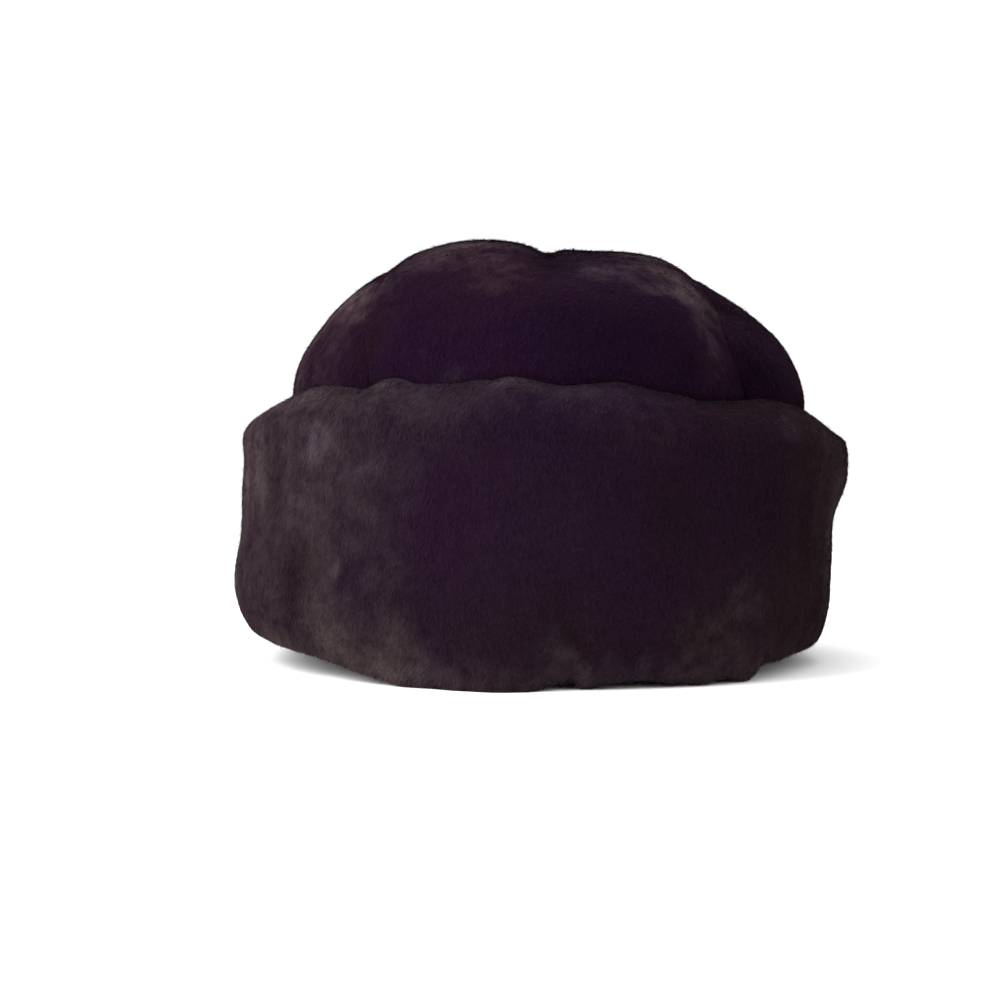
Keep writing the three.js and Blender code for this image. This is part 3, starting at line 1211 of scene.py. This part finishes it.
@dataclass(frozen=True)
class CrownPanel:
    """What the crown's panels have in common: a furred outside, its padding and its skin side.

    Attributes:
        form: The crown's surface.
        node: Node of the frame that the panel stands for.
        locks: Number of its locks of hair.
        seed: Seed of the locks.
        dome_points: Number of points that each line of its grid has on the dome.
        lines: Number of those lines.
        wall_points: Number of points that a line has on the wall at each end that reaches it.
        lumps: Soft lumps of the dome.
        lump_fade: Heights above the shoulder at which the lumps start and are full.
        fall: How far the fur's lie points straight down.
        spread: How far it points outward on the oval that has spread_at as half width and half
            depth, in proportion nearer the middle.
        spread_at: Those two.
        coat_fade: Heights at which the coat starts, hidden by the band, and is full.
    """

    form: CrownForm
    node: str
    locks: int
    seed: int
    dome_points: int
    lines: int
    wall_points: int = 14
    lumps: Lumps = Lumps((34.0, 13.0, 5.0), (0.75, 0.34, 0.13), 71)
    lump_fade: tuple[float, float] = (-14.0, 6.0)
    fall: float = 0.8
    spread: float = 0.5
    spread_at: tuple[float, float] = (93.0, 107.0)
    coat_fade: tuple[float, float] = (82.0, 88.0)

    def grids(self) -> tuple[Grid, Grid]:
        """Outer and inner grid of places."""
        raise NotImplementedError

    def undulated(self, outer: Grid) -> Grid:
        """Adds the soft lumps of padded fur along the normals, over the shoulder and the dome.

        Args:
            outer: Grid of places on the outer face.

        Returns:
            The grid with its lumps.
        """
        share = smooth_step(outer[..., 2] - self.form.shoulder, *self.lump_fade)
        return outer + grid_normals(outer) * (self.lumps.read(outer) * share)[..., None]

    def build(self, fur: bpy.types.Material, skin: bpy.types.Material) -> list[bpy.types.Object]:
        """Builds the panel and its coat.

        Args:
            fur: Finish of the hair.
            skin: Finish of the inside.

        Returns:
            The panel, which stands for its node, and its coat.
        """
        outer, inner = self.grids()
        outer = self.undulated(outer)
        shell = shell_facets(outer, inner)
        shell.fields = CROWN_NAP_AND_PAINTED_LIGHT.under_coat(shell.points)
        name = f"{self.node}_fur"
        panel = shell.welded().to_object(name, [fur, skin])
        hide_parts(self.node)
        normals = grid_normals(outer)
        outward = np.array([self.spread / self.spread_at[0], self.spread / self.spread_at[1], 0.0])
        downward = outer * outward - self.fall * UP
        cover = smooth_step(outer[..., 2], *self.coat_fade)
        patch = Patch(outer, normals, unit(downward - normals * dot(downward, normals)), cover)
        coat = FurCoat().grow(patch, CROWN_NAP_AND_PAINTED_LIGHT, self.locks, self.seed)
        return [panel, coat.to_object(f"{name}_coat", [fur])]


@dataclass(frozen=True)
class CentrePanel(CrownPanel):
    """The panel from the front rim over the top to the back rim.

    Attributes:
        crowding: How far its lines crowd towards the seams, 0 for evenly spaced ones.
    """

    crowding: float = 0.5

    def grids(self) -> tuple[Grid, Grid]:
        """Lines run from the front rim to the back rim, side by side from seam to seam.

        Returns:
            Outer and inner grid of places.
        """
        form = self.form
        wall = np.linspace(0.0, 1.0, self.wall_points, endpoint=False)
        turn = np.linspace(0.0, math.pi, self.dome_points)
        pitch = np.concatenate([wall * 0.0, turn, wall * 0.0 + math.pi])[:, None]
        wall_share = np.concatenate([wall, turn * 0.0 + 1.0, wall[::-1]])[:, None]
        left = form.seam(Side.LEFT, pitch) + form.gap / 2.0
        right = form.seam(Side.RIGHT, pitch) - form.gap / 2.0
        even = np.linspace(0.0, 1.0, self.lines)
        crowded = 0.5 - 0.5 * np.cos(math.pi * even)
        x = blend(left, right, blend(even, crowded, self.crowding)[None, :])
        depth = form.pulled(Side.LEFT, x - left, pitch) + form.pulled(Side.RIGHT, right - x, pitch)
        layers = []
        for layer_depth in (depth + form.creased(x, pitch), np.full_like(depth, form.wall)):
            across = x / (form.half_width - layer_depth)
            along = np.sqrt(1.0 - across**2) * np.cos(pitch)
            layers.append(form.place(across, along, layer_depth, wall_share))
        return layers[0], layers[1]


@dataclass(frozen=True)
class SidePanel(CrownPanel):
    """A D-shaped panel between a seam and the rim.

    Attributes:
        side: Which side it is on.
    """

    side: Side = Side.LEFT

    def _layer(self, inside: bool) -> Grid:
        """One layer of the panel.

        A line starts at a place on the seam, goes out over the dome and down the wall to the
        rim. Its radius share follows the dome's arch in even turns, and its bearing goes evenly
        from that of the seam to that of its place on the rim.

        Args:
            inside: Whether it is the skin side.

        Returns:
            Grid of places.
        """
        form, sign = self.form, self.side.value
        pitch = np.linspace(0.0, math.pi, self.lines)[:, None]
        still = np.zeros_like(pitch)
        seam_depth = form.wall + still if inside else form.pulled(self.side, still, pitch)
        across = (form.seam(self.side, pitch) + sign * form.gap / 2.0) / (form.half_width - seam_depth)
        along = np.sqrt(1.0 - across**2) * np.cos(pitch)
        start_share = np.hypot(across, along)
        start = np.arctan2(across, along)
        end = blend(start[0, 0], start[-1, 0], pitch / math.pi)
        way = np.linspace(0.0, 1.0, self.dome_points)[None, :]
        start_turn = np.arccos(np.minimum(1.0, start_share ** (form.fullness / 2.0)))
        share = np.cos(start_turn * (1.0 - way)) ** (2.0 / form.fullness)
        wall = np.linspace(1.0, 0.0, self.wall_points + 1)[None, 1:]
        share = np.concatenate([share, np.ones((self.lines, self.wall_points))], axis=1)
        way = np.concatenate([way, wall * 0.0 + 1.0], axis=1)
        wall_share = np.concatenate([np.ones((1, self.dome_points)), wall], axis=1)
        bearing = blend(start, end, way)
        across, along = share * np.sin(bearing), share * np.cos(bearing)
        if inside:
            return form.place(across, along, np.full_like(across, form.wall), wall_share)
        ahead = along / np.sqrt(np.maximum(LEAST_SHARE, 1.0 - across**2))
        own_pitch = np.arccos(np.clip(ahead, -1.0, 1.0))
        distance = np.abs(across * form.half_width) - np.abs(form.seam(self.side, own_pitch))
        depth = form.pulled(self.side, np.maximum(0.0, distance), own_pitch)
        depth[:, 0] = seam_depth[:, 0]
        depth[0], depth[-1] = seam_depth[0, 0], seam_depth[-1, 0]
        return form.place(across, along, depth, wall_share)

    def grids(self) -> tuple[Grid, Grid]:
        """Lines run from the seam to the rim, side by side from front to back."""
        return self._layer(False), self._layer(True)


# Turned-up band


@dataclass(frozen=True)
class Dent:
    """A dent in the band's face.

    Attributes:
        azimuth: Place of its middle, in degrees from the front towards +X.
        height: Height of its middle.
        half_angle: Half width around the band, in degrees.
        half_height: Half height.
        depth: Its depth, below 0 for a bulge.
    """

    azimuth: float
    height: float
    half_angle: float
    half_height: float
    depth: float

    def read(self, azimuth: Grid, z: Grid) -> Grid:
        """Depth at each place of the face, a bell curve around and up the band."""
        around, up = (azimuth - self.azimuth) / self.half_angle, (z - self.height) / self.half_height
        return self.depth * np.exp(-(around**2) - up**2)


@dataclass(frozen=True)
class Band:
    """The turned-up band, one thick ring of fur.

    Attributes:
        crown: The crown's surface.
        name: The piece's name.
        node: Node of the frame that it stands for.
        clearance: Gap between the band and the crown's wall.
        lip_drop: Height of the rounded lip.
        crest_share: Share of the lip's thickness at which the crest lies.
        foot_height: Height of the rounded foot.
        inset: Depth of the skin of the fur under the nap's outline.
        lumps: Soft lumps of its face.
        lump_fade: Thickness and height at which the lumps start and are full.
        dent_fade: Thickness at which a dent starts and is full.
        sections: Number of sections around it.
        sole_steps: Steps of a section along the sole.
        round_steps: Steps along the foot's and along the lip's rounding.
        face_steps: Steps up the face between the two.
        crest_steps: Steps from the crest to the inner face.
        inner_steps: Steps down the inner face.
        coat_start: Number of the section's point on the sole at which the coat starts.
        locks: Number of locks of hair on each half.
        seed: Seed of the front half's locks. The back's follows it.
        form: For each azimuth the crest's height, the thickness at the lip, the waist and the
            foot, the share of the foot that is flat, the sole's height and the lip's slackness.
        dents: Its dents and folds.
    """

    crown: CrownForm
    name: str = "turned_up_band_fur"
    node: str = "turned_up_band"
    clearance: float = 0.5
    lip_drop: float = 17.0
    crest_share: float = 0.06
    foot_height: float = 22.0
    inset: float = 0.4
    lumps: Lumps = Lumps((38.0, 14.0, 5.0), (0.55, 0.34, 0.14), 81)
    lump_fade: tuple[float, float] = (2.0, 9.0)
    dent_fade: tuple[float, float] = (4.0, 12.0)
    sections: int = 540
    sole_steps: int = 5
    round_steps: int = 15
    face_steps: int = 29
    crest_steps: int = 3
    inner_steps: int = 8
    coat_start: int = 3
    locks: int = 95000
    seed: int = 500
    form: Table = Table(
        ("azimuth", "crest", "lip", "waist", "foot", "flat", "edge", "slack"),
        (
            (-180, 94, 17.5, 17, 18.5, 0.6, 0, 1.25),
            (-150, 93, 18, 17.5, 18.5, 0.5, 0, 1.25),
            (-115, 90, 16.5, 17, 18, 0.35, 4.6, 1),
            (-85, 90.5, 16, 16.3, 18, 0.3, 9.2, 0.84),
            (-66, 93.3, 15.8, 16, 17.6, 0.3, 8.2, 1),
            (-55, 95.8, 16.3, 16.2, 17.6, 0.32, 7, 1.08),
            (-50, 95.6, 16.6, 16.3, 17.6, 0.33, 6.4, 1.14),
            (-44, 94.4, 17, 16.5, 17.6, 0.35, 5.6, 1.2),
            (-40, 93.8, 17.2, 16.7, 17.5, 0.4, 4.7, 1.21),
            (-37, 95, 17.4, 16.8, 17.5, 0.46, 4, 1.22),
            (-34, 96.5, 17.5, 17, 17.5, 0.5, 3.2, 1.25),
            (-31.5, 96.4, 17.5, 17, 17.5, 0.55, 2.5, 1.25),
            (-28, 94.7, 17.5, 17, 17.5, 0.6, 1.7, 1.25),
            (-24.5, 94.4, 17.5, 17.2, 17.7, 0.68, 0.7, 1.25),
            (-18.4, 94.5, 17.6, 17.5, 18.1, 0.76, 0.6, 1.25),
            (-15, 95.2, 17.7, 17.6, 18.9, 0.82, 0, 1.25),
            (-12, 95.3, 17.8, 17.8, 19.8, 0.84, 0, 1.25),
            (-9, 96.1, 17.9, 17.9, 20.3, 0.9, 0, 1.25),
            (-5, 95.2, 18, 18, 20, 0.86, 0, 1.25),
            (-2.5, 94.1, 18, 18, 19.4, 0.78, 0, 1.25),
            (0.4, 93.3, 18, 18, 18, 0.62, 1.5, 1.25),
            (2.8, 93.2, 18, 18, 17.5, 0.58, 2.4, 1.25),
            (4.6, 93.6, 18, 18, 17.3, 0.54, 2.4, 1.25),
            (6.3, 93.8, 18, 18, 17.2, 0.54, 0.5, 1.25),
            (8.2, 94.1, 18, 18, 17, 0.52, 0.6, 1.25),
            (11, 94.5, 18, 18, 17, 0.5, 1.7, 1.25),
            (15, 93.4, 18, 17.9, 17, 0.48, 2.2, 1.25),
            (18.5, 92.1, 17.8, 17.6, 17, 0.51, 2.5, 1.25),
            (22, 91.3, 17.5, 17.3, 17, 0.55, 1.3, 1.25),
            (25, 90.5, 17.3, 16.9, 17, 0.6, 1.5, 1.25),
            (28, 89.4, 17, 16.5, 17, 0.65, 0.8, 1.25),
            (33, 89.4, 17, 16.3, 16.9, 0.64, 2.4, 1.25),
            (36.4, 89.5, 17, 16.1, 16.7, 0.62, 0.7, 1.25),
            (39.4, 89.9, 17, 15.8, 16.3, 0.56, 0.6, 1.25),
            (41.7, 90.3, 17, 15.5, 16, 0.5, 3, 1.25),
            (51, 90.7, 16.6, 14.6, 14.6, 0.42, 4.9, 1.22),
            (60, 89, 16, 13.5, 13, 0.35, 5.8, 1.2),
            (70, 84.8, 15.6, 12.3, 12.2, 0.35, 6, 1),
            (85, 83.4, 15.9, 11.5, 11.5, 0.35, 5.6, 0.85),
            (115, 87.5, 16, 13.5, 15, 0.35, 3.5, 1.15),
            (150, 93.5, 17, 17, 17.5, 0.5, 0, 1.25),
        ),
        360.0,
    )
    dents: tuple[Dent, ...] = (
        Dent(-57, 60, 5, 24, 2.6),
        Dent(-46, 24, 4, 16, 2.4),
        Dent(-19, 16, 3, 12, 1.8),
        Dent(4, 10, 2.5, 16, 2.6),
        Dent(58, 14, 5, 12, 2),
        Dent(-84, 83, 18, 7, -1.7),
        Dent(84, 81, 18, 7, -2.2),
        Dent(128, 50, 9, 26, 2),
        Dent(-140, 44, 8, 28, 2.2),
        Dent(172, 20, 5, 18, 1.8),
    )

    @property
    def crest_column(self) -> int:
        """Number of the section's point on the crest."""
        return self.sole_steps + 2 * self.round_steps + self.face_steps

    def profile(self, azimuth: Grid) -> tuple[Grid, Grid]:
        """Section of the band at each azimuth.

        From the inner edge it follows the flat sole, the foot's rounded quarter, the face with
        its waist, the lip's slack quarter up to the crest, and the inner face back down.

        Args:
            azimuth: Degrees from the front towards +X, as a column.

        Returns:
            Distance out from the inner face and height, a row for each azimuth.
        """
        crest, lip, waist, foot, flat, edge, slack = (
            self.form.read(column, azimuth) for column in self.form.columns[1:]
        )
        edge = np.maximum(edge, 0.0)
        sole = foot * flat
        foot_z, lip_z, crest_out = edge + self.foot_height, crest - self.lip_drop, lip * self.crest_share
        inner_top = crest - crest_out
        under, share, inward, down = (
            np.linspace(0.0, 1.0, steps + 1)[None, :]
            for steps in (self.sole_steps, self.face_steps, self.crest_steps, self.inner_steps)
        )
        under, share, inward, down = under[:, :-1], share[:, 1:-1], inward[:, 1:], down[:, 1:-1]
        quarter = np.linspace(0.0, math.pi / 2.0, self.round_steps + 1)[None, :]
        ends = blend(foot, lip, smooth_step(share, 0.0, 1.0))
        out = [
            sole * under,
            blend(sole, foot, np.sin(quarter)),
            blend(ends, waist, np.sin(math.pi * share) ** 2),
            blend(crest_out, lip, np.maximum(np.cos(quarter), 0.0) ** slack),
            crest_out * (1.0 - inward),
            np.zeros_like(azimuth * down),
        ]
        height = [
            edge + 0.0 * under,
            foot_z - self.foot_height * np.cos(quarter),
            blend(foot_z, lip_z, share),
            blend(lip_z, crest, np.sin(quarter) ** slack),
            blend(crest, inner_top, inward),
            blend(inner_top, edge, down),
        ]
        return np.concatenate(out, axis=1), np.concatenate(height, axis=1)

    def surface(self) -> Grid:
        """The whole ring.

        Each section stands out from the crown's oval wall at its azimuth, dented where the
        dents lie, and the fur's soft lumps are added along its normals.

        Returns:
            Grid of places, a row for each section.
        """
        azimuth = np.linspace(-180.0, 180.0, self.sections, endpoint=False)[:, None]
        out, z = self.profile(azimuth)
        for dent in self.dents:
            out = out - dent.read(azimuth, z) * smooth_step(out, *self.dent_fade)
        out = self.clearance + out
        turn = np.radians(azimuth)
        x = self.crown.middle(z) + (self.crown.half_width + out) * np.sin(turn)
        points = np.stack([x, -(self.crown.half_depth + out) * np.cos(turn), z], axis=-1)
        free = smooth_step(out, *self.lump_fade) * smooth_step(z, *self.lump_fade)
        raised = (self.lumps.read(points) - self.inset) * free
        return points + self._normals(points) * raised[..., None]

    @staticmethod
    def _normals(points: Grid) -> Grid:
        """Normals of the closed ring: the cross product of its two closed directions.

        Args:
            points: Grid of places, a row for each section.

        Returns:
            Grid of unit vectors, away from the middle of each section.
        """
        around = np.roll(points, -1, axis=0) - np.roll(points, 1, axis=0)
        along = np.roll(points, -1, axis=1) - np.roll(points, 1, axis=1)
        normals = unit(np.cross(around, along))
        return normals * np.sign(dot(normals, points - points.mean(axis=1, keepdims=True)).sum())

    def build(self, fur: bpy.types.Material) -> list[bpy.types.Object]:
        """Builds the band and its coat, in a front and a back half.

        The fur lies down the lip and the face, and the coat ends at the crest and on the sole.

        Args:
            fur: Finish of the hair.

        Returns:
            The band, which stands for its node, and the halves of its coat.
        """
        points = self.surface()
        ring = ring_facets(points)
        ring.fields = BAND_NAP_AND_PAINTED_LIGHT.under_coat(ring.points)
        band = ring.welded().to_object(self.name, [fur])
        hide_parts(self.node)
        normals = self._normals(points)
        lie = unit(np.roll(points, 1, axis=1) - np.roll(points, -1, axis=1))
        lie[:, self.crest_column + 1 :] *= -1.0
        column = np.arange(points.shape[1])
        furred = (column >= self.coat_start) & (column <= self.crest_column)
        cover = np.broadcast_to(np.where(furred, 1.0, 0.0), points.shape[:2])
        quarter = self.sections // 4
        halves = {"front": (quarter, 3 * quarter), "back": (3 * quarter, self.sections + quarter)}
        pieces = [band]
        for number, (half, (start, end)) in enumerate(halves.items()):
            rows = np.arange(start, end + 1) % self.sections
            patch = Patch(points[rows], normals[rows], lie[rows], cover[rows])
            coat = FurCoat().grow(patch, BAND_NAP_AND_PAINTED_LIGHT, self.locks, self.seed + number)
            pieces.append(coat.to_object(f"{self.name}_{half}_coat", [fur]))
        return pieces


# Studio


@dataclass(frozen=True)
class SoftLight:
    """A square light.

    Attributes:
        name: Its name.
        place: Place of its middle, in metres.
        size: Length of its edge, in metres.
        power: Its power in watts.
    """

    name: str
    place: Place
    size: float
    power: float

    def build(self, target: Place) -> None:
        """Adds the light.

        Args:
            target: Place that it faces, in metres.
        """
        data = bpy.data.lights.new(self.name, "AREA")
        data.size = self.size
        data.energy = self.power
        light = bpy.data.objects.new(self.name, data)
        light.location = self.place
        aim = Vector(target) - light.location
        light.rotation_euler = aim.to_track_quat("-Z", "Y").to_euler()
        bpy.context.scene.collection.objects.link(light)


@dataclass(frozen=True)
class Studio:
    """A pale floor, soft lights and the camera.

    Attributes:
        floor_size: Length of the floor's edge, in metres.
        floor_points: Number of points along it.
        floor_colour: The floor's colour.
        floor_roughness: Its roughness.
        floor_gloss: Level of its mirror light.
        white: Colour of the light from all around.
        world_strength: Strength of that light.
        lights: The soft lights.
        target: Place that they face, in metres.
        camera_place: Place of the camera, in metres.
        camera_drop: Angle in degrees by which it looks below level.
        sensor: Width of its sensor.
        focal_share: Focal length as a share of that width.
    """

    floor_size: float = 8.0
    floor_points: int = 9
    floor_colour: Colour = (0.95, 0.95, 0.95, 1.0)
    floor_roughness: float = 0.9
    floor_gloss: float = 0.1
    white: Colour = (1.0, 1.0, 1.0, 1.0)
    world_strength: float = 1.05
    lights: tuple[SoftLight, ...] = (
        SoftLight("key_light", (-1.1, -0.55, 0.8), 1.0, 32.0),
        SoftLight("fill_light", (1.0, -0.7, 0.4), 0.8, 3.0),
        SoftLight("top_light", (-0.1, 0.0, 1.4), 1.4, 14.0),
    )
    target: Place = (0.0, 0.0, 0.07)
    camera_place: Place = (-0.0152, -0.655, 0.060)
    camera_drop: float = 0.227
    sensor: float = 36.0
    focal_share: float = 1.767

    def build(self) -> None:
        """Makes the floor, the lights, the world and the camera."""
        self._floor()
        for light in self.lights:
            light.build(self.target)
        self._world()
        self._camera()

    def _floor(self) -> None:
        """Makes the floor, a level square grid of points."""
        count, half = self.floor_points, self.floor_size / 2.0 / METRES
        line = np.linspace(-half, half, count)
        x, y = np.meshgrid(line, line)
        points = np.stack([x, y, x * 0.0], axis=-1).reshape(-1, 3)
        corners = split_quads(grid_quads(count, count))
        sheet = grid_uv(count, count, WHOLE_STRIP)[corners]
        facets = Facets(points, corners, sheet, np.zeros(len(corners), int))
        finish = Shading("pale_floor").surface(
            {
                "Base Color": self.floor_colour,
                "Roughness": self.floor_roughness,
                "Specular IOR Level": self.floor_gloss,
            }
        )
        floor = facets.to_object("floor", [finish])

    def _world(self) -> None:
        """Makes the even white light from all around, and shows all colours as they are."""
        world = bpy.data.worlds.new("studio_world")
        world.use_nodes = True
        background = world.node_tree.nodes["Background"]
        background.inputs["Color"].default_value = self.white
        background.inputs["Strength"].default_value = self.world_strength
        bpy.context.scene.world = world
        bpy.context.scene.view_settings.view_transform = "Standard"

    def _camera(self) -> None:
        """Makes the camera, in front of the hat and a little left of its middle."""
        data = bpy.data.cameras.new("camera")
        data.sensor_width = self.sensor
        data.lens = self.sensor * self.focal_share
        camera = bpy.data.objects.new("camera", data)
        camera.location = self.camera_place
        camera.rotation_euler = (math.radians(90.0 - self.camera_drop), 0.0, 0.0)
        bpy.context.scene.collection.objects.link(camera)
        bpy.context.scene.camera = camera


# The whole hat


@dataclass(frozen=True)
class FurHat:
    """The whole hat.

    Attributes:
        crown: The crown's surface.
        crown_fur: Finish of the crown.
        band_fur: Finish of the band.
        skin: Finish of the crown's inside.
    """

    crown: CrownForm = CrownForm()
    crown_fur: FurFinish = FurFinish(
        "crown_fur_plum",
        plum=(0.0112, 0.0039, 0.0131, 1.0),
        brown=(0.0132, 0.0050, 0.0098, 1.0),
        # Paler colours of crushed nap and painted light
        dusty_and_lit=(0.0570, 0.0395, 0.0465, 1.0),
        dusty_and_lit_brown=(0.0580, 0.0350, 0.0395, 1.0),
        clouds=2.1,
    )
    band_fur: FurFinish = FurFinish(
        "band_fur_plum_brown",
        plum=(0.0120, 0.0047, 0.0136, 1.0),
        brown=(0.0130, 0.0067, 0.0083, 1.0),
        # Paler colours of crushed nap and painted light
        dusty_and_lit=(0.0530, 0.0390, 0.0440, 1.0),
        dusty_and_lit_brown=(0.0540, 0.0380, 0.0400, 1.0),
    )
    skin: SkinFinish = SkinFinish()

    def build(self) -> None:
        """Builds every piece and lets it ride on the hat."""
        crown_fur, skin = self.crown_fur.material(), self.skin.material()
        centre = {"locks": 95000, "seed": 100, "dome_points": 190, "lines": 96}
        panels: list[CrownPanel] = [CentrePanel(self.crown, "crown_centre_panel", **centre)]
        for side, seed in ((Side.LEFT, 200), (Side.RIGHT, 300)):
            sizes = {"locks": 34000, "seed": seed, "dome_points": 46, "lines": 110}
            panels.append(SidePanel(self.crown, f"crown_{side.name.lower()}_panel", side=side, **sizes))
        for panel in panels:
            self._place(panel.build(crown_fur, skin), "crown_fur")
        self._place(Band(self.crown).build(self.band_fur.material()), "band_fur")

    @staticmethod
    def _place(pieces: list[bpy.types.Object], slot: str) -> None:
        """Lets pieces ride on the hat and reports them.

        Args:
            pieces: The pieces.
            slot: Not used.
        """
        for piece in pieces:
            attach(piece, "root")
            log.info("%s: %d triangles", piece.name, len(piece.data.polygons))


def main() -> None:
    """Builds the hat and its studio on the frame."""
    logging.basicConfig(level=logging.INFO, format="%(message)s")
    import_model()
    Studio().build()
    FurHat().build()
    bpy.context.view_layer.update()


if __name__ == "__main__":
    main()
